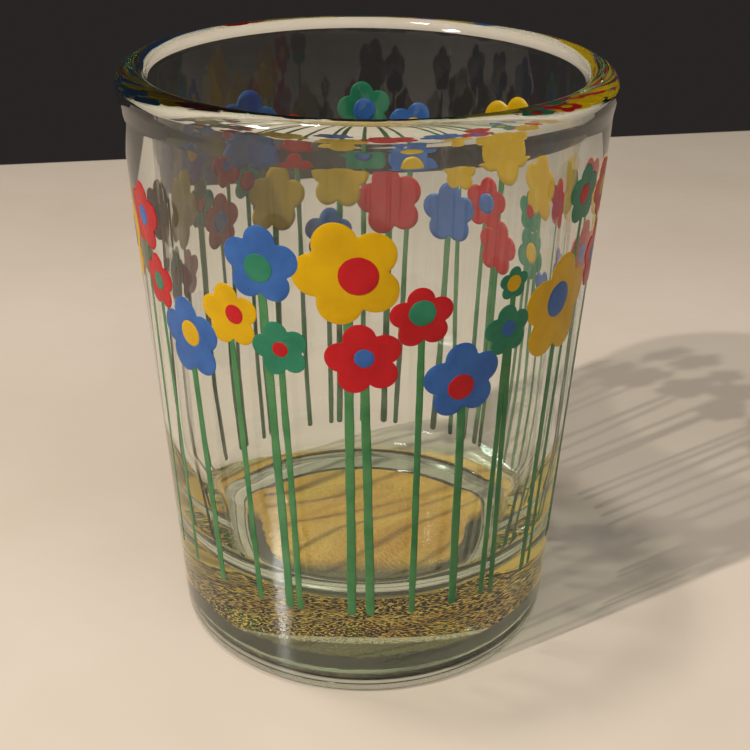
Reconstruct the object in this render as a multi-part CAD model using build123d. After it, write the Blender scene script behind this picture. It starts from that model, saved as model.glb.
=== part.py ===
from build123d import *
import os
from collections import namedtuple
from math import atan, cos, pi, radians, sin

# A small, thick-walled drinking glass with a meadow of screen-printed enamel flowers round its
# outside and a cork disc glued into the recess under its base. All lengths are in millimetres.
# The glass stands on Z = 0, its axis is Z, and its front faces -Y. An angle on the wall is
# measured in degrees from the front, and grows towards +X.

# ---- The glass ----
HEIGHT = 60.0
BASE_RADIUS = 20.4  # outer wall, carried down to Z = 0
WALL_TOP_RADIUS = 23.75  # outer wall, carried up to the rim's height
RIM_RADIUS = 23.85  # the fire-polished bead stands a little proud of the wall
RIM_THICKNESS = 3.1
RIM_ROUNDING = 1.5
BEAD_START = 56.3  # height at which the outer wall turns out into the bead
BEAD_FULL = 57.9  # height at which the bead has its full radius
BEAD_BLEND = 3.0
FLOOR_HEIGHT = 9.4  # inside floor above the table: the heavy base
CAVITY_WAIST = (19.75, 22.0)  # the inside wall turns in towards the floor from here down
WAIST_ROUNDING = 25.0
CAVITY_CORNER = (17.6, 9.6)  # where the inside wall and the floor would meet
CAVITY_ROUNDING = 5.5
HEEL_ROUNDING = 0.9

# ---- The underside ----
SEAT_HEIGHT = 1.1  # glass ceiling of the recess that holds the disc
RECESS_RADIUS = 17.0
FOOT_INNER_RADIUS = 17.6
FOOT_ROUNDING = 0.3

# ---- The cork disc ----
DISC_RADIUS = 16.6
DISC_THICKNESS = 0.8
DISC_CHAMFER = 0.15

# ---- The enamel ----
INK = 0.1  # thickness of one printed coat
PUNCH_DEPTH = 1.5  # how far an outline is carried each side of the wall to cut the coats
COAT_MARGIN = 2.0  # the coats' cones reach this far below the stems
STEM_FOOT = 10.4  # every stem ends at this height
STEM_WIDTH = 0.65
WIDE_STEM = 0.85  # under flowers of at least WIDE_FROM
WIDE_FROM = 3.4
PETALS = 5
LOBE_REACH = 0.58  # centre of a petal's round lobe, as a share of the flower's radius
LOBE_RADIUS = 0.42
HEART_RADIUS = 0.56
PRINT_ORDER = ["yellow", "blue", "red", "green"]  # first coat to last

# angle, height and radius place a flower's centre. turn is where its first petal points, in
# degrees. eye is its middle's colour, eye_share the middle's share of the radius, and lean is
# how far round the glass, in degrees, the stem's foot stands from the flower. eye_right and
# eye_up say how far the eye is printed off the flower's centre, as shares of the radius.
Flower = namedtuple(
    "Flower",
    "angle height radius turn petals eye eye_share lean eye_right eye_up",
    defaults=(0, 0),
)
FLOWERS = [
    # front
    Flower(-3.3, 47.2, 4.8, 40, "yellow", "red", 0.36, 0.8, 0.19, -0.03),
    Flower(-22.4, 47.3, 3.6, 16, "blue", "green", 0.37, 2.8, -0.05, -0.09),
    Flower(-31.2, 41.8, 3.1, 25, "yellow", "red", 0.30, 2.5, 0.18, 0.08),
    Flower(-45.0, 38.0, 4.0, 26, "blue", "yellow", 0.32, 2.6, 0.04, 0.12),
    Flower(-18.6, 39.5, 2.7, 32, "green", "red", 0.28, 2.0),
    Flower(0.3, 39.1, 3.5, 30, "red", "blue", 0.26, 2.2, 0.0, 0.05),
    Flower(12.8, 43.0, 2.9, 24, "red", "green", 0.42, 0.8, 0.0, 0.16),
    Flower(23.3, 36.3, 3.8, 24, "blue", "red", 0.34, 2.0, -0.03, -0.18),
    Flower(34.4, 40.4, 2.55, 26, "green", "blue", 0.31, 0.3, 0.03, 0.05),
    Flower(52.2, 40.7, 5.2, 14, "yellow", "blue", 0.33, -0.4, -0.06, 0.15),
    Flower(34.8, 44.9, 1.6, 18, "green", "yellow", 0.50, 3.5),
    # right
    Flower(57.5, 51.0, 2.8, 18, "green", "red", 0.35, -2.0),
    Flower(72.0, 50.2, 2.9, 40, "red", "yellow", 0.35, -1.0),
    Flower(73.0, 43.2, 3.4, 10, "red", "blue", 0.30, 1.0),
    Flower(86.0, 48.0, 4.2, 30, "yellow", "green", 0.35, 0.0),
    Flower(91.0, 38.5, 3.0, 55, "blue", "yellow", 0.33, 2.0),
    Flower(100.0, 45.2, 2.7, 18, "red", "green", 0.35, 1.0),
    Flower(106.0, 34.5, 2.6, 35, "blue", "red", 0.33, 0.5),
    # back
    Flower(113.5, 45.5, 3.7, 18, "yellow", "red", 0.33, -2.0),
    Flower(118.7, 42.3, 2.4, 18, "green", "red", 0.33, 2.6),
    Flower(116.2, 37.8, 3.0, 50, "green", "yellow", 0.40, 1.5),
    Flower(132.8, 36.6, 3.2, 25, "red", "green", 0.33, 0.0),
    Flower(133.5, 48.5, 4.6, 37, "yellow", "red", 0.33, 2.0),
    Flower(139.0, 41.3, 3.1, 22, "red", "blue", 0.40, 1.8),
    Flower(149.8, 44.4, 2.4, 14, "yellow", "red", 0.38, -3.0),
    Flower(152.5, 39.2, 3.7, 15, "blue", "red", 0.34, 1.6),
    Flower(166.2, 47.3, 3.3, 33, "blue", "yellow", 0.46, 2.7),
    Flower(172.7, 39.9, 4.3, 5, "red", "green", 0.35, 0.7),
    Flower(-178.7, 49.4, 3.3, 8, "green", "blue", 0.42, 0.0),
    Flower(-170.8, 42.7, 3.9, 25, "yellow", "green", 0.42, 0.8),
    Flower(-166.8, 35.9, 3.2, 23, "blue", "red", 0.35, 0.0),
    Flower(-156.8, 46.8, 2.5, 18, "red", "green", 0.35, -1.8),
    Flower(-148.9, 40.8, 4.1, 28, "yellow", "green", 0.38, 0.5),
    Flower(-141.6, 48.5, 4.2, 29, "blue", "red", 0.35, -1.0),
    Flower(-139.0, 43.6, 2.3, 32, "green", "red", 0.50, 0.0),
    Flower(-131.2, 46.0, 2.6, 11, "red", "blue", 0.33, 1.0),
    Flower(-126.5, 39.9, 3.3, 21, "red", "blue", 0.38, -0.5),
    Flower(-115.0, 48.9, 3.6, 45, "blue", "yellow", 0.34, -2.5),
    Flower(-117.2, 42.8, 2.8, 30, "green", "red", 0.33, 0.0),
    # left
    Flower(-104.0, 43.6, 4.4, 50, "yellow", "red", 0.30, -2.0),
    Flower(-106.0, 36.2, 2.8, 18, "red", "green", 0.35, 0.0),
    Flower(-94.0, 37.5, 3.2, 40, "green", "red", 0.33, -1.0),
    Flower(-92.0, 49.0, 3.4, 5, "blue", "red", 0.35, -1.0),
    Flower(-79.0, 44.2, 4.8, 30, "yellow", "blue", 0.33, -2.5),
    Flower(-61.5, 48.0, 3.3, 15, "red", "blue", 0.30, -5.0),
    Flower(-56.5, 42.2, 2.7, 20, "red", "green", 0.33, 1.0),
]

CONE_TILT = atan((WALL_TOP_RADIUS - BASE_RADIUS) / HEIGHT)
TOUCH_GAP = 0.5  # printed shapes further apart than this can't meet
SMALLEST_CRUMB = 0.02  # volume below which a scrap between two outlines isn't printed


def wall_radius(height):
    """Outer radius of the glass wall at a height."""
    return BASE_RADIUS + (WALL_TOP_RADIUS - BASE_RADIUS) * height / HEIGHT


def wall_plane(angle, height):
    """Plane that touches the outer wall, X to the right and Y up as seen from outside."""
    a = radians(angle)
    r = wall_radius(height)
    outward = (sin(a) * cos(CONE_TILT), -cos(a) * cos(CONE_TILT), -sin(CONE_TILT))
    return Plane(origin=(r * sin(a), -r * cos(a), height), x_dir=(cos(a), sin(a), 0), z_dir=outward)


def turned(corners):
    """Solid of revolution about Z from (radius, height, rounding) corners of its half section."""
    with BuildPart() as solid:
        with BuildSketch(Plane.XZ) as section:
            with BuildLine():
                Polyline([(r, z) for r, z, _ in corners], close=True)
            make_face()
            for r, z, rounding in corners:
                if rounding:
                    fillet(section.vertices().sort_by_distance((r, z, 0))[0], radius=rounding)
        revolve(axis=Axis.Z)
    return solid.part


def glass_body():
    """The pressed glass: foot ring, heel, wall, bead, cavity and the seat underneath."""
    rim_inner = RIM_RADIUS - RIM_THICKNESS
    corners = [
        (0, SEAT_HEIGHT, 0),
        (RECESS_RADIUS, SEAT_HEIGHT, 0),
        (FOOT_INNER_RADIUS, 0, FOOT_ROUNDING),
        (BASE_RADIUS, 0, HEEL_ROUNDING),
        (wall_radius(BEAD_START), BEAD_START, BEAD_BLEND),
        (RIM_RADIUS, BEAD_FULL, BEAD_BLEND),
        (RIM_RADIUS, HEIGHT, RIM_ROUNDING),
        (rim_inner, HEIGHT, RIM_ROUNDING),
        (*CAVITY_WAIST, WAIST_ROUNDING),
        (*CAVITY_CORNER, CAVITY_ROUNDING),
        (0, FLOOR_HEIGHT, 0),
    ]
    return turned(corners)


def cork_disc():
    """Flat disc glued under the base, clear of the table."""
    bottom = SEAT_HEIGHT - DISC_THICKNESS
    corners = [
        (0, bottom, 0),
        (DISC_RADIUS - DISC_CHAMFER, bottom, 0),
        (DISC_RADIUS, bottom + DISC_CHAMFER, 0),
        (DISC_RADIUS, SEAT_HEIGHT, 0),
        (0, SEAT_HEIGHT, 0),
    ]
    return turned(corners)


def coat(level):
    """Thin cone that one coat of enamel fills: level 0 lies on the glass, level 1 on level 0."""
    low, high = STEM_FOOT - COAT_MARGIN, BEAD_START
    near, far = level * INK, (level + 1) * INK
    corners = [
        (wall_radius(low) + near, low, 0),
        (wall_radius(low) + far, low, 0),
        (wall_radius(high) + far, high, 0),
        (wall_radius(high) + near, high, 0),
    ]
    return turned(corners)


def cutter(sketch, plane):
    """Prism that punches a flat outline through the coats at a place on the wall."""
    return extrude(plane * sketch, amount=PUNCH_DEPTH, both=True)


def petal_outline(radius, turn):
    """Five round lobes about a heart."""
    outline = Sketch() + Circle(HEART_RADIUS * radius)
    for i in range(PETALS):
        a = turn + 360 * i / PETALS
        centre = (LOBE_REACH * radius * cos(radians(a)), LOBE_REACH * radius * sin(radians(a)))
        outline += Pos(*centre) * Circle(LOBE_RADIUS * radius)
    return outline


def petal_cutter(f):
    return cutter(petal_outline(f.radius, f.turn), wall_plane(f.angle, f.height))


def eye_cutter(f):
    eye = Pos(f.eye_right * f.radius, f.eye_up * f.radius) * Circle(f.eye_share * f.radius)
    return cutter(Sketch() + eye, wall_plane(f.angle, f.height))


def stem_cutter(f):
    """Straight stroke with a round foot, from the flower's centre down to STEM_FOOT."""
    width = WIDE_STEM if f.radius >= WIDE_FROM else STEM_WIDTH
    rise = (f.height - STEM_FOOT) / cos(CONE_TILT)
    middle = (f.height + STEM_FOOT) / 2
    shift = radians(f.lean) * wall_radius(STEM_FOOT)
    top, foot = (-shift / 2, rise / 2), (shift / 2, -rise / 2)
    stroke = SlotCenterToCenter(rise - width, width)
    slant = 90 + atan(shift / rise) * 180 / pi
    centre = ((top[0] + foot[0]) / 2, (top[1] + foot[1]) / 2)
    outline = Sketch() + Pos(*centre) * Rot(0, 0, slant) * stroke
    return cutter(outline, wall_plane(f.angle + f.lean / 2, middle))


def gap_between(f, g):
    """Distance round and up the wall between two flowers' outer circles."""
    turn = (f.angle - g.angle + 180) % 360 - 180
    across = radians(turn) * wall_radius((f.height + g.height) / 2)
    return (across**2 + (f.height - g.height) ** 2) ** 0.5 - f.radius - g.radius


def stem_meets(f, g):
    """True if flower f's stem may pass behind flower g."""
    turn = (f.angle + f.lean / 2 - g.angle + 180) % 360 - 180
    sideways = abs(radians(turn)) * wall_radius(g.height)
    return sideways < g.radius + WIDE_STEM + TOUCH_GAP and g.height - g.radius < f.height


def printed_when(f):
    """Place of a flower's petals in the order of printing."""
    return PRINT_ORDER.index(f.petals), FLOWERS.index(f)


def eye_is_first(f):
    return PRINT_ORDER.index(f.eye) < PRINT_ORDER.index(f.petals)


def printed(f, first_coat, petals):
    """One flower's petals: they stop at an eye printed before them and at petals printed after."""
    shape = first_coat & petals[f]
    if eye_is_first(f):
        shape -= eye_cutter(f)
    for g in FLOWERS:
        if printed_when(g) > printed_when(f) and gap_between(f, g) < TOUCH_GAP:
            shape -= petals[g]
    return shape


def eye_of(f, first_coat, second_coat):
    """A flower's eye: on the glass if printed before the petals, and on top of them if after."""
    return (first_coat if eye_is_first(f) else second_coat) & eye_cutter(f)


def stem_of(f, first_coat, petals):
    shape = first_coat & stem_cutter(f)
    for g in FLOWERS:
        if stem_meets(f, g):
            shape -= petals[g]
    return shape


def solids_of(shapes):
    """One compound of all the solids in a list of shapes, without the crumbs."""
    solids = [s for shape in shapes for s in shape.solids() if s.volume > SMALLEST_CRUMB]
    return Compound(children=solids)


def main():
    os.makedirs("parts", exist_ok=True)
    first_coat, second_coat = coat(0), coat(1)
    petals = {f: petal_cutter(f) for f in FLOWERS}
    nodes = {"glass_body": glass_body(), "cork_disc": cork_disc()}
    for colour in PRINT_ORDER:
        blooms = [printed(f, first_coat, petals) for f in FLOWERS if f.petals == colour]
        nodes[f"{colour}_petals"] = solids_of(blooms)
        eyes = [eye_of(f, first_coat, second_coat) for f in FLOWERS if f.eye == colour]
        nodes[f"{colour}_flower_eyes"] = solids_of(eyes)
    stems = [stem_of(f, first_coat, petals) for f in FLOWERS]
    nodes["green_stems"] = solids_of([stems[0].fuse(*stems[1:])])
    for name, shape in nodes.items():
        export_step(shape, f"parts/{name}.step")
        print(name, len(shape.solids()), round(shape.volume, 2))


main()
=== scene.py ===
import math
from collections import namedtuple

import bmesh
import bpy
from mathutils import Matrix, Vector, noise


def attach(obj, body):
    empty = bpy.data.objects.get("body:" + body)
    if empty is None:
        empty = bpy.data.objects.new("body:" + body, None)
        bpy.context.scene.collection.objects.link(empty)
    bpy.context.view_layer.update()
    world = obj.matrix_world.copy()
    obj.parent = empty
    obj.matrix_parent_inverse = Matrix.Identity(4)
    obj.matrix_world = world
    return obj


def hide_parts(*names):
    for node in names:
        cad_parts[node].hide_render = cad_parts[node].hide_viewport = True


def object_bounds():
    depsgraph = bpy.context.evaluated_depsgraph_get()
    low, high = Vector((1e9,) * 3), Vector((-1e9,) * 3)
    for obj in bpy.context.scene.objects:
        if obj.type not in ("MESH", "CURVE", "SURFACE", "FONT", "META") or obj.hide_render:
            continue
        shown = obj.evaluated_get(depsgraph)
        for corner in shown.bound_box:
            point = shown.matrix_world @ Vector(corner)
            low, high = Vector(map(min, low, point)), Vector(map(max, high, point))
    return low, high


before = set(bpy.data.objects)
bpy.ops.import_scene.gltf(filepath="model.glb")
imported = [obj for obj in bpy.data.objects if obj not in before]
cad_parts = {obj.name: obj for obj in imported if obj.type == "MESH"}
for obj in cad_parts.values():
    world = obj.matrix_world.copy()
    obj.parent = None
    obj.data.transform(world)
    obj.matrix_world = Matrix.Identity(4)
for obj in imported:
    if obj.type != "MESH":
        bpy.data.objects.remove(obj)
cad_low, cad_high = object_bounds()

# The finished look of a small printed drinking glass. Sizes are in millimetres, and MM turns
# them into the frame's metres. An angle on the wall is in degrees from the front (-Y), and
# grows towards +X.
MM = 0.001
HEIGHT = (cad_high.z - cad_low.z) / MM

# ---- The glass ----
BASE_RADIUS, WALL_TOP_RADIUS = 20.4, 23.75
RIM_RADIUS = (cad_high.x - cad_low.x) / MM / 2
RIM_THICKNESS, RIM_ROUNDING = 3.1, 1.5
BEAD_START, BEAD_FULL, BEAD_BLEND = 56.3, 57.9, 3.0
FLOOR_HEIGHT = 9.4
CAVITY_WAIST, WAIST_ROUNDING = (19.75, 22.0), 25.0
CAVITY_CORNER, CAVITY_ROUNDING = (17.6, 9.6), 5.5
HEEL_ROUNDING = 0.9
SEAT_HEIGHT, RECESS_RADIUS = 1.1, 17.0
FOOT_INNER_RADIUS, FOOT_ROUNDING = 17.6, 0.3
MOULD_ROUNDING = 0.12  # on the underside's small edges
GLASS_SEGMENTS = 256
ARC_STEP = math.radians(7)  # most that one facet of a rounded corner turns
ON_AXIS = 1e-6  # a point of the section nearer the axis than this is on it

# ---- The cork disc ----
DISC_RADIUS, DISC_THICKNESS, DISC_EDGE = 16.6, 0.8, 0.15
DISC_STEP, DISC_SEGMENTS = 0.2, 420  # spacing of the mesh's rings, and points in each
GLUED = 0.02  # how far glued places of the disc sink into the glass, so that no air shows there
AIR_GAP = 0.06  # between the glass and the disc wherever the glue hasn't spread
GLUE_SQUASH = 1.08  # the glue reaches less far to the front than to the sides
GLUE_EDGE, GLUE_STRAY = 17.2, 0.4  # its outline at the sides, and how far that wanders
GLUE_GRAIN = 4.2  # bubbles per millimetre in the glue
GLUE_SHARE = 0.05  # 0 leaves half of it bubbles, and more leaves fewer
GLUE_SOLID = 13.0  # from about here out it has no bubbles
GLUE_FRONT = -7.5  # nor has it in front of about here
GLUE_SLOPE = 3  # how sharply the disc drops from glued to not
GAP_SHADE_RING = (13.0, 18.0)  # painted shade: a dark crescent round the front of the disc, where the gap between disc and foot lies in shade
GAP_SHADE_BACK = 1.0  # it runs no further back than this
SHADED_FRONT = -6.0  # painted shade: the cork in front of this is painted greener and duller
STREAK_TURN = math.radians(38)  # the cork's streaks run at this angle to X

# ---- The enamel ----
STEM_FOOT, STEM_WIDTH = 10.4, 0.65
WIDE_STEM, WIDE_FROM = 0.85, 3.4  # flowers of this radius and more have the wider stem
PETALS, LOBE_REACH, LOBE_RADIUS, HEART_RADIUS = 5, 0.58, 0.42, 0.56
PRINT_ORDER = ["yellow", "blue", "red", "green"]

# A flower has the angle and height of its middle, its radius, the turn of its petals in
# degrees, two colours, its eye's share of the radius, how many degrees its stem's foot is
# off to the right, and how far its eye is off the middle, in shares of the radius.
Flower = namedtuple(
    "Flower",
    "angle height radius turn petals eye eye_share lean eye_right eye_up",
    defaults=(0, 0),
)
FLOWERS = [
    # front
    Flower(-3.3, 47.2, 4.8, 40, "yellow", "red", 0.36, 0.8, 0.19, -0.03),
    Flower(-22.4, 47.3, 3.6, 16, "blue", "green", 0.37, 2.8, -0.05, -0.09),
    Flower(-31.2, 41.8, 3.1, 25, "yellow", "red", 0.30, 2.5, 0.18, 0.08),
    Flower(-45.0, 38.0, 4.0, 26, "blue", "yellow", 0.32, 2.6, 0.04, 0.12),
    Flower(-18.6, 39.5, 2.7, 32, "green", "red", 0.28, 2.0),
    Flower(0.3, 39.1, 3.5, 30, "red", "blue", 0.26, 2.2, 0.0, 0.05),
    Flower(12.8, 43.0, 2.9, 24, "red", "green", 0.42, 0.8, 0.0, 0.16),
    Flower(23.3, 36.3, 3.8, 24, "blue", "red", 0.34, 2.0, -0.03, -0.18),
    Flower(34.4, 40.4, 2.55, 26, "green", "blue", 0.31, 0.3, 0.03, 0.05),
    Flower(52.2, 40.7, 5.2, 14, "yellow", "blue", 0.33, -0.4, -0.06, 0.15),
    Flower(34.8, 44.9, 1.6, 18, "green", "yellow", 0.50, 3.5),
    # right
    Flower(57.5, 51.0, 2.8, 18, "green", "red", 0.35, -2.0),
    Flower(72.0, 50.2, 2.9, 40, "red", "yellow", 0.35, -1.0),
    Flower(73.0, 43.2, 3.4, 10, "red", "blue", 0.30, 1.0),
    Flower(86.0, 48.0, 4.2, 30, "yellow", "green", 0.35, 0.0),
    Flower(91.0, 38.5, 3.0, 55, "blue", "yellow", 0.33, 2.0),
    Flower(100.0, 45.2, 2.7, 18, "red", "green", 0.35, 1.0),
    Flower(106.0, 34.5, 2.6, 35, "blue", "red", 0.33, 0.5),
    # back
    Flower(113.5, 45.5, 3.7, 18, "yellow", "red", 0.33, -2.0),
    Flower(118.7, 42.3, 2.4, 18, "green", "red", 0.33, 2.6),
    Flower(116.2, 37.8, 3.0, 50, "green", "yellow", 0.40, 1.5),
    Flower(132.8, 36.6, 3.2, 25, "red", "green", 0.33, 0.0),
    Flower(133.5, 48.5, 4.6, 37, "yellow", "red", 0.33, 2.0),
    Flower(139.0, 41.3, 3.1, 22, "red", "blue", 0.40, 1.8),
    Flower(149.8, 44.4, 2.4, 14, "yellow", "red", 0.38, -3.0),
    Flower(152.5, 39.2, 3.7, 15, "blue", "red", 0.34, 1.6),
    Flower(166.2, 47.3, 3.3, 33, "blue", "yellow", 0.46, 2.7),
    Flower(172.7, 39.9, 4.3, 5, "red", "green", 0.35, 0.7),
    Flower(-178.7, 49.4, 3.3, 8, "green", "blue", 0.42, 0.0),
    Flower(-170.8, 42.7, 3.9, 25, "yellow", "green", 0.42, 0.8),
    Flower(-166.8, 35.9, 3.2, 23, "blue", "red", 0.35, 0.0),
    Flower(-156.8, 46.8, 2.5, 18, "red", "green", 0.35, -1.8),
    Flower(-148.9, 40.8, 4.1, 28, "yellow", "green", 0.38, 0.5),
    Flower(-141.6, 48.5, 4.2, 29, "blue", "red", 0.35, -1.0),
    Flower(-139.0, 43.6, 2.3, 32, "green", "red", 0.50, 0.0),
    Flower(-131.2, 46.0, 2.6, 11, "red", "blue", 0.33, 1.0),
    Flower(-126.5, 39.9, 3.3, 21, "red", "blue", 0.38, -0.5),
    Flower(-115.0, 48.9, 3.6, 45, "blue", "yellow", 0.34, -2.5),
    Flower(-117.2, 42.8, 2.8, 30, "green", "red", 0.33, 0.0),
    # left
    Flower(-104.0, 43.6, 4.4, 50, "yellow", "red", 0.30, -2.0),
    Flower(-106.0, 36.2, 2.8, 18, "red", "green", 0.35, 0.0),
    Flower(-94.0, 37.5, 3.2, 40, "green", "red", 0.33, -1.0),
    Flower(-92.0, 49.0, 3.4, 5, "blue", "red", 0.35, -1.0),
    Flower(-79.0, 44.2, 4.8, 30, "yellow", "blue", 0.33, -2.5),
    Flower(-61.5, 48.0, 3.3, 15, "red", "blue", 0.30, -5.0),
    Flower(-56.5, 42.2, 2.7, 20, "red", "green", 0.33, 1.0),
]

# Each coat's inner and outer face, measured outwards from the glass. A coat printed earlier
# lies deeper, so it shows from inside, and one printed later shows from outside.
STEM_COAT = (-0.012, 0.030)
PETAL_COATS = {
    "yellow": (-0.040, 0.036),
    "blue": (-0.034, 0.042),
    "red": (-0.028, 0.048),
    "green": (-0.022, 0.054),
}
EYE_FIRST = (-0.046, 0.062)  # printed before its petals: seen from inside too
EYE_LAST = (0.010, 0.075)  # printed on top of them
PRINT_EDGE = 0.05  # width of a coat's rounded edge
PRINT_WOBBLE = 0.035  # how far a printed outline strays from its drawing
WOBBLE_GRAIN = 0.7  # wanders per millimetre of outline
WOBBLE_SEED, STEM_SEED = 3.7, 5.3  # how far apart in the noise two flowers are read
EYE_SEED = 100  # keeps an eye's outline apart from its flower's
STEM_SWELL, STEM_STRAY = 0.06, 0.05  # how far a stem's width and its middle wander
STEM_SIDES = (  # round a stem's section: side, in half widths, and how far out, 0 to 1
    (-1, 0.5), (-0.82, 1), (-0.3, 1), (0.3, 1), (0.82, 1), (1, 0.5), (0.6, 0), (-0.6, 0),
)
STEM_STEP = 1.2  # spacing of a stem's sections
FOOT_ANGLES = (12, 30, 45, 60, 75, 90)  # where its round foot has sections, in degrees

# ---- Colours ----
# Each colour pair is a thin place's and a thick place's, in 0 to 255 sRGB numbers.
ENAMELS = {
    "yellow": ((196, 153, 0), (182, 140, 0)),
    "blue": ((53, 95, 158), (43, 80, 139)),
    "red": ((174, 24, 30), (158, 15, 22)),
    "green": ((45, 117, 89), (33, 102, 74)),
}
THIN_GREEN = ((74, 122, 76), (47, 102, 60))  # the stems' coat lets some light through
PIT_SHADE = 0.55  # a pinhole's colour, as a share of the thick place's
CORK_PALE, CORK_DEEP = (226, 176, 80), (206, 144, 52)
# The olive pair is painted shade: the greener, duller colour the cork's front is painted.
SHADED_OLIVE_PALE, SHADED_OLIVE_DEEP = (112, 104, 70), (74, 69, 46)
# The last of these is painted shade: the colour of the dark crescent round the disc's front.
CORK_FLECK, BUBBLE, GAP_SHADE_COLOUR = (150, 104, 48), (226, 200, 150), (56, 51, 38)
TABLE_PALE, TABLE_DEEP = (212, 198, 184), (202, 188, 172)
GLASS_IOR = 1.51
GLASS_FACE = (0.985, 0.995, 0.985, 1)  # linear colour that one face lets through
GLASS_BODY, GLASS_DENSITY = (0.35, 0.60, 0.30, 1), 20  # what the glass absorbs on the way
SHADOW_TINT = (0.70, 0.70, 0.685, 1)  # share of a lamp's light left by each face, in the shadow
INNER_TINT = (0.91, 0.92, 0.90, 1)  # the same, on what is seen through the glass


def srgb(r, g, b):
    """Linear colour from 0 to 255 sRGB numbers."""
    def linear(c):
        c /= 255
        return c / 12.92 if c <= 0.04045 else ((c + 0.055) / 1.055) ** 2.4
    return (linear(r), linear(g), linear(b), 1)


# ---------------------------------------------------------------- geometry
def new_object(name, bm):
    """An object in metres from a bmesh in millimetres."""
    bmesh.ops.recalc_face_normals(bm, faces=bm.faces)
    bmesh.ops.scale(bm, vec=(MM, MM, MM), verts=bm.verts)
    mesh = bpy.data.meshes.new(name)
    bm.to_mesh(mesh)
    bm.free()
    mesh.polygons.foreach_set("use_smooth", [True] * len(mesh.polygons))
    obj = bpy.data.objects.new(name, mesh)
    bpy.context.scene.collection.objects.link(obj)
    return obj


def rounded(corners):
    """(point, outward normal) pairs along a half section, with every rounded corner an arc.

    corners are (radius, height, rounding), anticlockwise, so outward is to the right.
    """
    def normal(a, b):
        along = (b - a).normalized()
        return Vector((along.y, -along.x))

    section = []
    spots = [Vector(c[:2]) for c in corners]
    for i, (_, _, rounding) in enumerate(corners):
        here = spots[i]
        if i in (0, len(corners) - 1):
            section.append((here, Vector((0, -1 if i == 0 else 1))))
            continue
        before, after = spots[i - 1], spots[i + 1]
        n0, n1 = normal(before, here), normal(here, after)
        turn = n0.angle_signed(n1)  # clockwise is positive
        reach = rounding * math.tan(abs(turn) / 2)
        start = here + (before - here).normalized() * reach
        hub = start + n0 * (rounding if turn > 0 else -rounding)
        steps = max(2, math.ceil(abs(turn) / ARC_STEP))
        for k in range(steps + 1):
            n = n0.copy()
            n.rotate(Matrix.Rotation(-turn * k / steps, 2))
            section.append((hub - n * (rounding if turn > 0 else -rounding), n))
    return section


def lathe(name, section, segments):
    """Turned solid whose shading normals are the section's own, so that it refracts cleanly."""
    bm = bmesh.new()
    rings = []
    normals = []
    for point, n in section:
        ring = []
        for k in range(1 if point.x < ON_AXIS else segments):
            a = 2 * math.pi * k / segments
            ring.append(bm.verts.new((point.x * math.cos(a), point.x * math.sin(a), point.y)))
            normals.append((n.x * math.cos(a), n.x * math.sin(a), n.y))
        rings.append(ring)
    for low, high in zip(rings, rings[1:]):
        for k in range(segments):
            j = (k + 1) % segments
            if len(low) == 1:
                bm.faces.new((low[0], high[k], high[j]))
            elif len(high) == 1:
                bm.faces.new((low[k], high[0], low[j]))
            else:
                bm.faces.new((low[k], high[k], high[j], low[j]))
    obj = new_object(name, bm)
    obj.data.normals_split_custom_set_from_vertices(normals)
    return obj


def wall_radius(height):
    return BASE_RADIUS + (WALL_TOP_RADIUS - BASE_RADIUS) * height / HEIGHT


TILT = math.atan((WALL_TOP_RADIUS - BASE_RADIUS) / HEIGHT)


def on_wall(angle, height, right, up, out):
    """Point on the outer wall, from a spot on it by right and up along it and out from it."""
    z = height + up * math.cos(TILT)
    r = wall_radius(z)
    a = math.radians(angle) + math.asin(right / r)
    r += out * math.cos(TILT)
    return Vector((r * math.sin(a), -r * math.cos(a), z - out * math.sin(TILT)))


def petal_reach(turn, a):
    """Distance to a flower's outline in direction a, as a share of its radius."""
    spacing = 2 * math.pi / PETALS
    off = (a - math.radians(turn) + spacing / 2) % spacing - spacing / 2
    across = LOBE_REACH * math.sin(off)
    lobe = LOBE_REACH * math.cos(off) + math.sqrt(max(LOBE_RADIUS**2 - across**2, 0))
    return max(lobe, HEART_RADIUS)


def coat_section(coat, hole, steps):
    """Half section of a printed coat: (share of the way out, edge widths past it, height)."""
    inner, outer = coat
    first = 0 if hole else 1  # a coat with no hole closes in one middle point instead
    section = []
    if hole:
        section += [(0, 0, inner + PRINT_EDGE / 3), (0, 0.4, outer - PRINT_EDGE / 4)]
    section += [(k / steps, 0 if k else 1, outer) for k in range(first, steps)]
    section += [(1, -1, outer), (1, -0.35, outer - 0.15 * (outer - inner))]
    section += [(1, 0, (outer + inner) / 2), (1, -1, inner)]
    section += [(k / steps, 0 if k else 1, inner) for k in range(steps - 1, first - 1, -1)]
    return section


def printed_disc(bm, place, reach, coat, hole=0.0, steps=6, segments=110):
    """Closed coat of enamel with a rounded edge, out to reach(a) in each direction a.

    place(right, up, out) gives the point. hole is the radius left open in its middle.
    """
    rings = []
    for share, edge, out in coat_section(coat, hole, steps):
        ring = []
        for k in range(segments):
            a = 2 * math.pi * k / segments
            r = hole + (reach(a) - hole) * share + edge * PRINT_EDGE
            ring.append(bm.verts.new(place(r * math.cos(a), r * math.sin(a), out)))
        rings.append(ring)
    pairs = list(zip(rings, rings[1:]))
    if hole:
        pairs.append((rings[-1], rings[0]))
    for low, high in pairs:
        for k in range(segments):
            j = (k + 1) % segments
            bm.faces.new((low[k], high[k], high[j], low[j]))
    if not hole:
        inner, outer = coat
        for ring, out in ((rings[0], outer), (rings[-1], inner)):
            add_cap(bm, ring, place(0, 0, out))


def add_cap(bm, ring, at):
    """Fan of triangles from a ring to its middle point."""
    middle = bm.verts.new(at)
    for k in range(len(ring)):
        bm.faces.new((middle, ring[k], ring[(k + 1) % len(ring)]))


def wobble(seed, a, size):
    """Small wander of a printed outline in direction a."""
    grain = size * WOBBLE_GRAIN
    spot = Vector((math.cos(a) * grain, math.sin(a) * grain, seed * WOBBLE_SEED))
    return PRINT_WOBBLE * noise.noise(spot)


def eye_is_first(f):
    return PRINT_ORDER.index(f.eye) < PRINT_ORDER.index(f.petals)


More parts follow.
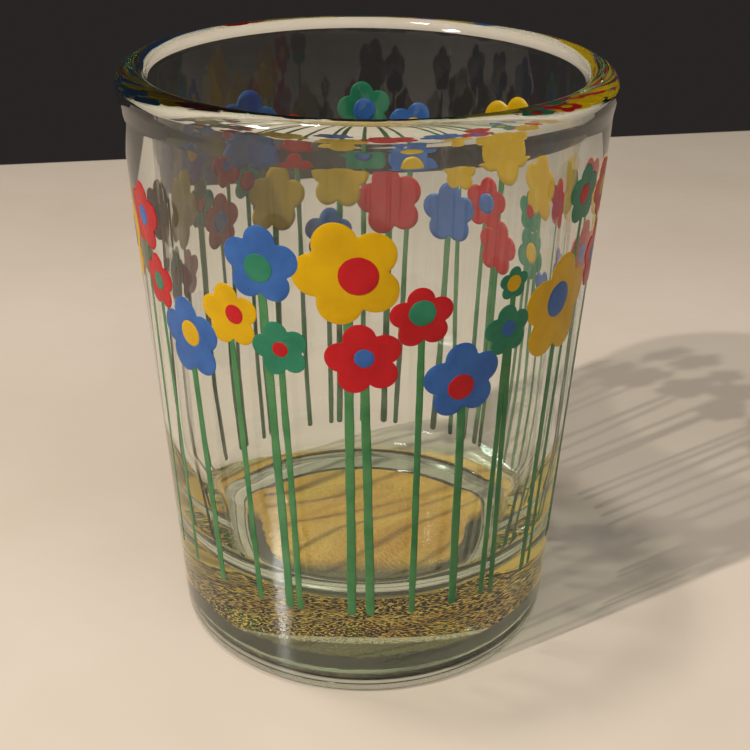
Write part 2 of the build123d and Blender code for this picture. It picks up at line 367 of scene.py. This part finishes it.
def petal_reach_from_eye(f, a):
    """Distance from the middle of a flower's eye to its petals' outline in direction a."""
    near, far = 0.0, 1.4  # in shares of the radius: the outline is between them
    for _ in range(22):  # halved until it is found
        s = (near + far) / 2
        x, y = f.eye_right + s * math.cos(a), f.eye_up + s * math.sin(a)
        if math.hypot(x, y) < petal_reach(f.turn, math.atan2(y, x)):
            near = s
        else:
            far = s
    return near * f.radius


def about_eye(f):
    """Function that places a point of a flower by right, up and out from its eye's middle."""
    def place(right, up, out):
        shift = (f.eye_right * f.radius, f.eye_up * f.radius)
        return on_wall(f.angle, f.height, right + shift[0], up + shift[1], out)
    return place


def add_petals(bm, seed, f):
    def reach(a):
        return petal_reach_from_eye(f, a) + wobble(seed, a, f.radius)

    hole = f.radius * f.eye_share - PRINT_EDGE if eye_is_first(f) else 0
    printed_disc(bm, about_eye(f), reach, PETAL_COATS[f.petals], hole)


def add_eye(bm, seed, f):
    def reach(a):
        return f.radius * f.eye_share + wobble(seed + EYE_SEED, a, f.radius)

    coat = EYE_FIRST if eye_is_first(f) else EYE_LAST
    printed_disc(bm, about_eye(f), reach, coat, steps=3, segments=64)


def add_stem(bm, seed, f):
    """A straight stroke from under the petals to a round foot at STEM_FOOT."""
    width = WIDE_STEM if f.radius >= WIDE_FROM else STEM_WIDTH
    top = f.height - 0.5 * f.radius
    length = (top - STEM_FOOT) / math.cos(TILT)
    inner, outer = STEM_COAT
    loops = []
    for along, half in stem_stations(length, width):
        z = STEM_FOOT + along * math.cos(TILT)
        angle = f.angle + f.lean * (f.height - z) / (f.height - STEM_FOOT)
        swell = STEM_SWELL * noise.noise(Vector((seed * STEM_SEED, along * 0.35, 0)))
        half += swell * min(1, half * 3)
        stray = STEM_STRAY * noise.noise(Vector((seed * STEM_SEED, along * 0.15, 9)))
        loop = []
        for side, out in STEM_SIDES:
            height = inner + (outer - inner) * out
            loop.append(bm.verts.new(on_wall(angle, z, side * half + stray, 0, height)))
        loops.append(loop)
    for low, high in zip(loops, loops[1:]):
        for k in range(len(low)):
            j = (k + 1) % len(low)
            bm.faces.new((low[k], low[j], high[j], high[k]))
    bm.faces.new(loops[0])
    bm.faces.new(loops[-1])


def stem_stations(length, width):
    """(distance from the foot, half width) along a stem whose foot is a half circle."""
    half = width / 2
    foot = [half * (1 - math.cos(math.radians(a))) for a in FOOT_ANGLES]
    run = length - half
    steps = max(8, round(run / STEM_STEP))
    stations = [(d, math.sqrt(half**2 - (half - d) ** 2)) for d in foot]
    return stations + [(half + run * k / steps, half) for k in range(1, steps + 1)]


# ---------------------------------------------------------------- materials
def material(name):
    m = bpy.data.materials.new(name)
    m.use_nodes = True
    nodes = m.node_tree.nodes
    return m, nodes, m.node_tree.links, nodes["Principled BSDF"]


def noise_node(nodes, links, coords, scale, detail=3.0, roughness=0.5, stretch=(1, 1, 1)):
    """Output of a noise texture; scale is in features per millimetre."""
    mapping = nodes.new("ShaderNodeMapping")
    mapping.inputs["Scale"].default_value = [v / MM * scale for v in stretch]
    texture = nodes.new("ShaderNodeTexNoise")
    texture.inputs["Scale"].default_value = 1
    texture.inputs["Detail"].default_value = detail
    texture.inputs["Roughness"].default_value = roughness
    links.new(coords, mapping.inputs["Vector"])
    links.new(mapping.outputs["Vector"], texture.inputs["Vector"])
    return texture.outputs["Fac"]


def object_coords(nodes):
    return nodes.new("ShaderNodeTexCoord").outputs["Object"]


def remap(nodes, links, value, low, high, out_low, out_high):
    node = nodes.new("ShaderNodeMapRange")
    ends = {"From Min": low, "From Max": high, "To Min": out_low, "To Max": out_high}
    for name, v in ends.items():
        node.inputs[name].default_value = v
    links.new(value, node.inputs["Value"])
    return node.outputs["Result"]


def math_node(nodes, links, operation, a, b):
    node = nodes.new("ShaderNodeMath")
    node.operation = operation
    for socket, v in zip(node.inputs, (a, b)):
        if isinstance(v, (int, float)):
            socket.default_value = v
        else:
            links.new(v, socket)
    return node.outputs["Value"]


def mix_colours(nodes, links, fac, a, b):
    node = nodes.new("ShaderNodeMix")
    node.data_type = "RGBA"
    links.new(fac, node.inputs["Factor"])
    for socket, v in ((node.inputs[6], a), (node.inputs[7], b)):
        if isinstance(v, tuple):
            socket.default_value = v
        else:
            links.new(v, socket)
    return node.outputs[2]


def noisy_colour(nodes, links, share, thin, thick):
    """Mix of two sRGB colours by a share."""
    return mix_colours(nodes, links, share, srgb(*thin), srgb(*thick))


def bump(nodes, links, height, distance):
    """Normal from a height; distance is the height's full swing in millimetres."""
    node = nodes.new("ShaderNodeBump")
    node.inputs["Distance"].default_value = distance * MM
    node.inputs["Strength"].default_value = 1
    links.new(height, node.inputs["Height"])
    return node.outputs["Normal"]


def glass_material():
    """Clear soda glass: faint waves, a few dull spots where water dried, a trace of green.

    Rays to a lamp pass straight through it with a tint, which makes its shadow.
    """
    m, nodes, links, shader = material("clear_glass")
    coords = object_coords(nodes)
    shader.inputs["Base Color"].default_value = GLASS_FACE
    shader.inputs["Transmission Weight"].default_value = 1
    shader.inputs["IOR"].default_value = GLASS_IOR
    spots = noise_node(nodes, links, coords, 0.9, 2)
    smears = noise_node(nodes, links, coords, 0.16, 5, 0.6)
    spot = remap(nodes, links, spots, 0.70, 0.76, 0, 0.10)
    smear = remap(nodes, links, smears, 0.56, 0.80, 0, 0.07)
    links.new(math_node(nodes, links, "ADD", spot, smear), shader.inputs["Roughness"])
    waves = noise_node(nodes, links, coords, 0.10, 1, 0.5, (1, 1, 0.35))
    links.new(bump(nodes, links, waves, 0.05), shader.inputs["Normal"])
    passing = nodes.new("ShaderNodeBsdfTransparent")
    path = nodes.new("ShaderNodeLightPath")
    depth = path.outputs["Transmission Depth"]
    seen_through = math_node(nodes, links, "GREATER_THAN", depth, 0.5)
    tint = mix_colours(nodes, links, seen_through, SHADOW_TINT, INNER_TINT)
    links.new(tint, passing.inputs["Color"])
    mix = nodes.new("ShaderNodeMixShader")
    links.new(path.outputs["Is Shadow Ray"], mix.inputs[0])
    links.new(shader.outputs[0], mix.inputs[1])
    links.new(passing.outputs[0], mix.inputs[2])
    links.new(mix.outputs[0], nodes["Material Output"].inputs["Surface"])
    body = nodes.new("ShaderNodeVolumeAbsorption")
    body.inputs["Color"].default_value = GLASS_BODY
    body.inputs["Density"].default_value = GLASS_DENSITY
    links.new(body.outputs[0], nodes["Material Output"].inputs["Volume"])
    return m


def enamel_material(name, rgb, deep):
    """Fired enamel: thicker and thinner places, fine grain, pinholes and a soft gloss."""
    m, nodes, links, shader = material(f"{name}_enamel")
    coords = object_coords(nodes)
    cloud = noise_node(nodes, links, coords, 0.35, 4, 0.6)
    share = remap(nodes, links, cloud, 0.35, 0.68, 0, 1)
    base = noisy_colour(nodes, links, share, rgb, deep)
    pits = noise_node(nodes, links, coords, 3.2, 1)
    pit = remap(nodes, links, pits, 0.77, 0.80, 0, 0.55)
    pitted = mix_colours(nodes, links, pit, base, srgb(*(c * PIT_SHADE for c in deep)))
    links.new(pitted, shader.inputs["Base Color"])
    grain = noise_node(nodes, links, coords, 9, 2)
    broad_gloss = remap(nodes, links, cloud, 0.3, 0.7, 0.24, 0.38)
    fine_gloss = remap(nodes, links, grain, 0.3, 0.7, -0.04, 0.06)
    gloss = math_node(nodes, links, "ADD", broad_gloss, fine_gloss)
    links.new(gloss, shader.inputs["Roughness"])
    shader.inputs["Specular IOR Level"].default_value = 0.15
    fine_relief = math_node(nodes, links, "MULTIPLY", grain, 0.25)
    relief = math_node(nodes, links, "ADD", cloud, fine_relief)
    links.new(bump(nodes, links, relief, 0.035), shader.inputs["Normal"])
    return m


def painted_shades(nodes, links, coords):
    """Shares of painted shade: a dark crescent round the disc's front, and greener, duller cork
    behind it.
    """
    split = nodes.new("ShaderNodeSeparateXYZ")
    links.new(coords, split.inputs[0])
    x, y = split.outputs["X"], split.outputs["Y"]
    flat = nodes.new("ShaderNodeCombineXYZ")
    links.new(x, flat.inputs["X"])
    links.new(math_node(nodes, links, "MULTIPLY", y, GLUE_SQUASH), flat.inputs["Y"])
    length = nodes.new("ShaderNodeVectorMath")
    length.operation = "LENGTH"
    links.new(flat.outputs[0], length.inputs[0])
    wander = noise_node(nodes, links, coords, 0.5, 4, 0.6)
    ragged = remap(nodes, links, wander, 0.3, 0.7, -0.9 * MM, 0.9 * MM)
    r = math_node(nodes, links, "ADD", length.outputs["Value"], ragged)
    low, high = GAP_SHADE_RING
    soft = 0.3  # half width of the ring's soft edges
    inner = remap(nodes, links, r, (low - soft) * MM, (low + soft) * MM, 0, 1)
    outer = remap(nodes, links, r, (high - soft) * MM, (high + soft) * MM, 1, 0)
    ring = math_node(nodes, links, "MULTIPLY", inner, outer)
    front = remap(nodes, links, y, (GAP_SHADE_BACK - 2) * MM, GAP_SHADE_BACK * MM, 1, 0)
    # painted shade over the cork's front
    dull = remap(nodes, links, y, (SHADED_FRONT - 2) * MM, SHADED_FRONT * MM, 1, 0)
    return math_node(nodes, links, "MULTIPLY", ring, front), dull


def cork_material():
    """Pressed cork sheet, glued under the glass: streaked gold and brown, flecked, with tiny
    bubbles, and painted shade over its front.
    """
    m, nodes, links, shader = material("cork")
    coords = object_coords(nodes)
    turn = nodes.new("ShaderNodeMapping")
    turn.inputs["Rotation"].default_value = (0, 0, STREAK_TURN)
    links.new(coords, turn.inputs["Vector"])
    turned = turn.outputs["Vector"]
    streaks = noise_node(nodes, links, turned, 0.55, 4, 0.6, (1, 0.16, 1))
    clouds = noise_node(nodes, links, coords, 0.14, 3, 0.5)
    both = math_node(nodes, links, "ADD", streaks, clouds)
    tone = remap(nodes, links, both, 0.78, 1.26, 0, 1)
    base = noisy_colour(nodes, links, tone, CORK_PALE, CORK_DEEP)
    flecks = noise_node(nodes, links, coords, 2.6, 3, 0.7)
    gap_shade, dull = painted_shades(nodes, links, coords)
    speckle = remap(nodes, links, flecks, 0.35, 0.65, 0, 1)
    shaded_olive = noisy_colour(nodes, links, speckle, SHADED_OLIVE_PALE, SHADED_OLIVE_DEEP)
    # painted shade: the front of the cork turns greener and duller
    base = mix_colours(nodes, links, dull, base, shaded_olive)
    fleck = remap(nodes, links, flecks, 0.58, 0.72, 0, 0.8)
    base = mix_colours(nodes, links, fleck, base, srgb(*CORK_FLECK))
    bubbles = noise_node(nodes, links, coords, 5.0, 1)
    bubble = remap(nodes, links, bubbles, 0.66, 0.72, 0, 0.4)
    base = mix_colours(nodes, links, bubble, base, srgb(*BUBBLE))
    # painted shade: the dark crescent round the disc's front
    base = mix_colours(nodes, links, gap_shade, base, srgb(*GAP_SHADE_COLOUR))
    links.new(base, shader.inputs["Base Color"])
    shader.inputs["Roughness"].default_value = 0.7
    links.new(bump(nodes, links, flecks, 0.06), shader.inputs["Normal"])
    return m


# ---------------------------------------------------------------- pieces
def glass_piece():
    rim_inner = RIM_RADIUS - RIM_THICKNESS
    return lathe("glass", rounded([
        (0, SEAT_HEIGHT, 0),
        (RECESS_RADIUS, SEAT_HEIGHT, MOULD_ROUNDING),
        (FOOT_INNER_RADIUS, 0, FOOT_ROUNDING),
        (BASE_RADIUS, 0, HEEL_ROUNDING),
        (wall_radius(BEAD_START), BEAD_START, BEAD_BLEND),
        (RIM_RADIUS, BEAD_FULL, BEAD_BLEND),
        (RIM_RADIUS, HEIGHT, RIM_ROUNDING),
        (rim_inner, HEIGHT, RIM_ROUNDING),
        (*CAVITY_WAIST, WAIST_ROUNDING),
        (*CAVITY_CORNER, CAVITY_ROUNDING),
        (0, FLOOR_HEIGHT, 0),
    ]), GLASS_SEGMENTS)


def disc_top(r, a):
    """Height of the disc's upper face: up in the glass where it is glued, down where it isn't."""
    x, y = r * math.cos(a), r * math.sin(a)
    reach = math.hypot(x, y * GLUE_SQUASH if y < 0 else y)
    stray = noise.fractal(Vector((x * 0.5, y * 0.5, 8)), 0.9, 2.1, 4) * GLUE_STRAY
    wet = noise.fractal(Vector((x, y, 5)) * GLUE_GRAIN, 0.8, 2, 2) + GLUE_SHARE
    wet = max(wet, (reach - GLUE_SOLID) * 0.5, (GLUE_FRONT - y) * 0.25)
    inside = min(GLUE_EDGE + stray - reach, wet)
    share = min(1, max(0, 0.5 + inside * GLUE_SLOPE))
    return SEAT_HEIGHT - AIR_GAP + (GLUED + AIR_GAP) * share


def disc_piece():
    """The cork disc, with a flat underside and a glued, ragged upper face."""
    bottom = SEAT_HEIGHT - DISC_THICKNESS
    count = round((DISC_RADIUS - DISC_EDGE) / DISC_STEP)
    radii = [(DISC_RADIUS - DISC_EDGE) * k / count for k in range(1, count + 1)]
    bm = bmesh.new()
    angles = [2 * math.pi * k / DISC_SEGMENTS for k in range(DISC_SEGMENTS)]

    def ring(r, height):
        return [bm.verts.new((r * math.cos(a), r * math.sin(a), height(a))) for a in angles]

    rings = [ring(r, lambda a, r=r: disc_top(r, a)) for r in radii]
    rings.append(ring(DISC_RADIUS, lambda a: SEAT_HEIGHT - AIR_GAP - DISC_EDGE))
    rings.append(ring(DISC_RADIUS, lambda a: bottom + DISC_EDGE))
    rings.append(ring(DISC_RADIUS - DISC_EDGE, lambda a: bottom))
    for low, high in zip(rings, rings[1:]):
        for k in range(DISC_SEGMENTS):
            j = (k + 1) % DISC_SEGMENTS
            bm.faces.new((low[k], high[k], high[j], low[j]))
    for edge, height in ((rings[0], disc_top(0, 0)), (rings[-1], bottom)):
        add_cap(bm, edge, (0, 0, height))
    return new_object("cork_disc_round", bm)


def declare(piece, node, mat):
    piece.data.materials.append(mat)
    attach(piece, "root")
    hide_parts(node)


def enamel_piece(name, flowers, add):
    bm = bmesh.new()
    for f in flowers:
        add(bm, FLOWERS.index(f), f)
    return new_object(name, bm)


def build_object():
    declare(glass_piece(), "glass_body", glass_material())
    declare(disc_piece(), "cork_disc", cork_material())
    for colour, (rgb, deep) in ENAMELS.items():
        mat = enamel_material(colour, rgb, deep)
        petals = enamel_piece(
            f"{colour}_petal_print", [f for f in FLOWERS if f.petals == colour], add_petals)
        declare(petals, f"{colour}_petals", mat)
        eyes = enamel_piece(f"{colour}_eye_print", [f for f in FLOWERS if f.eye == colour], add_eye)
        declare(eyes, f"{colour}_flower_eyes", mat)
        if colour == "green":
            thin = enamel_material("thin_green", *THIN_GREEN)
            declare(enamel_piece("stem_print", FLOWERS, add_stem), "green_stems", thin)


# ---------------------------------------------------------------- stage
CAMERA_AT = (1.07, -115.8, 84.7)
CAMERA_PITCH, CAMERA_ROLL = math.radians(26.76), 0.0115  # both in radians
LENS, SENSOR_WIDTH = 57.7, 36
CLIP_START, CLIP_END = 0.005, 20  # in metres


def add_camera():
    data = bpy.data.cameras.new("camera")
    data.lens = LENS
    data.sensor_width = SENSOR_WIDTH
    data.clip_start, data.clip_end = CLIP_START, CLIP_END
    camera = bpy.data.objects.new("camera", data)
    pitch = Matrix.Rotation(math.pi / 2 - CAMERA_PITCH, 4, "X")
    roll = Matrix.Rotation(CAMERA_ROLL, 4, "Z")
    camera.matrix_world = Matrix.Translation(Vector(CAMERA_AT) * MM) @ (pitch @ roll)
    bpy.context.scene.collection.objects.link(camera)
    bpy.context.scene.camera = camera


TABLE_FAR, TABLE_SIDE, TABLE_NEAR = 181, 900, -900
TABLE_THICKNESS, TABLE_EDGE = 20, 7
TABLE_TURN = math.radians(11.5)


def add_table():
    """A pale table top with a rounded edge, running out of sight except behind the object."""
    bm = bmesh.new()
    bmesh.ops.create_cube(bm, size=1)
    size = (2 * TABLE_SIDE, TABLE_FAR - TABLE_NEAR, TABLE_THICKNESS)
    bmesh.ops.scale(bm, vec=size, verts=bm.verts)
    shift = (0, (TABLE_FAR + TABLE_NEAR) / 2, -TABLE_THICKNESS / 2)
    bmesh.ops.translate(bm, vec=shift, verts=bm.verts)
    bmesh.ops.bevel(
        bm, geom=bm.edges[:], offset=TABLE_EDGE, segments=8, affect="EDGES", profile=0.5)
    turn = Matrix.Rotation(TABLE_TURN, 3, "Z")
    bmesh.ops.rotate(bm, cent=(0, 0, 0), matrix=turn, verts=bm.verts)
    table = new_object("table_top", bm)
    table.data.materials.append(table_material())


def table_material():
    """Pale lacquer: faint clouds of colour and gloss, and a slight orange peel."""
    m, nodes, links, shader = material("pale_table")
    coords = object_coords(nodes)
    cloud = noise_node(nodes, links, coords, 0.02, 4, 0.55)
    share = remap(nodes, links, cloud, 0.3, 0.7, 0, 1)
    base = noisy_colour(nodes, links, share, TABLE_PALE, TABLE_DEEP)
    links.new(base, shader.inputs["Base Color"])
    gloss = remap(nodes, links, cloud, 0.3, 0.7, 0.07, 0.11)
    links.new(gloss, shader.inputs["Roughness"])
    orange_peel = noise_node(nodes, links, coords, 0.5, 2)
    links.new(bump(nodes, links, orange_peel, 0.02), shader.inputs["Normal"])
    return m


LAMP_AT, CEILING_AT, FILL_AT = (-514, -373, 568), (-200, 15, 900), (150, -500, 900)
AIM_AT = (0, 0, 25)  # every light points here
WARM, COOL, PLAIN = (1, 0.94, 0.86), (0.9, 0.95, 1), (0.98, 0.99, 0.95)
WORLD = (0.021, 0.0185, 0.0175, 1)


def add_light(name, at, width, height, power, colour):
    data = bpy.data.lights.new(name, "AREA")
    data.shape = "RECTANGLE"
    data.size, data.size_y = width * MM, height * MM
    data.energy = power
    data.color = colour
    light = bpy.data.objects.new(name, data)
    light.location = Vector(at) * MM
    facing = (Vector(AIM_AT) - Vector(at)).to_track_quat("-Z", "Y")
    light.rotation_euler = facing.to_euler()
    bpy.context.scene.collection.objects.link(light)
    return light


def add_lights():
    add_light("lamp", LAMP_AT, 16, 16, 6.6, WARM)
    add_light("ceiling", CEILING_AT, 75, 75, 2.6, WARM)
    glow = add_light("glow", LAMP_AT, 110, 110, 5, COOL)
    glow.visible_diffuse = False  # it only widens the lamp's highlights in the glass
    fill = add_light("fill", FILL_AT, 900, 700, 4.8, PLAIN)
    fill.visible_glossy = fill.visible_transmission = False
    world = bpy.data.worlds.new("studio")
    world.use_nodes = True
    world.node_tree.nodes["Background"].inputs["Color"].default_value = WORLD
    bpy.context.scene.world = world


def set_light_paths():
    cycles = bpy.context.scene.cycles
    cycles.max_bounces = 24
    cycles.transmission_bounces = 24
    cycles.glossy_bounces = 8
    cycles.diffuse_bounces = 4
    cycles.transparent_max_bounces = 16
    cycles.use_denoising = True
    cycles.caustics_refractive = False  # the glass's tinted shadow stands in for them
    cycles.caustics_reflective = False


bpy.context.scene.view_settings.view_transform = "Standard"
set_light_paths()
add_camera()
add_lights()
add_table()
build_object()
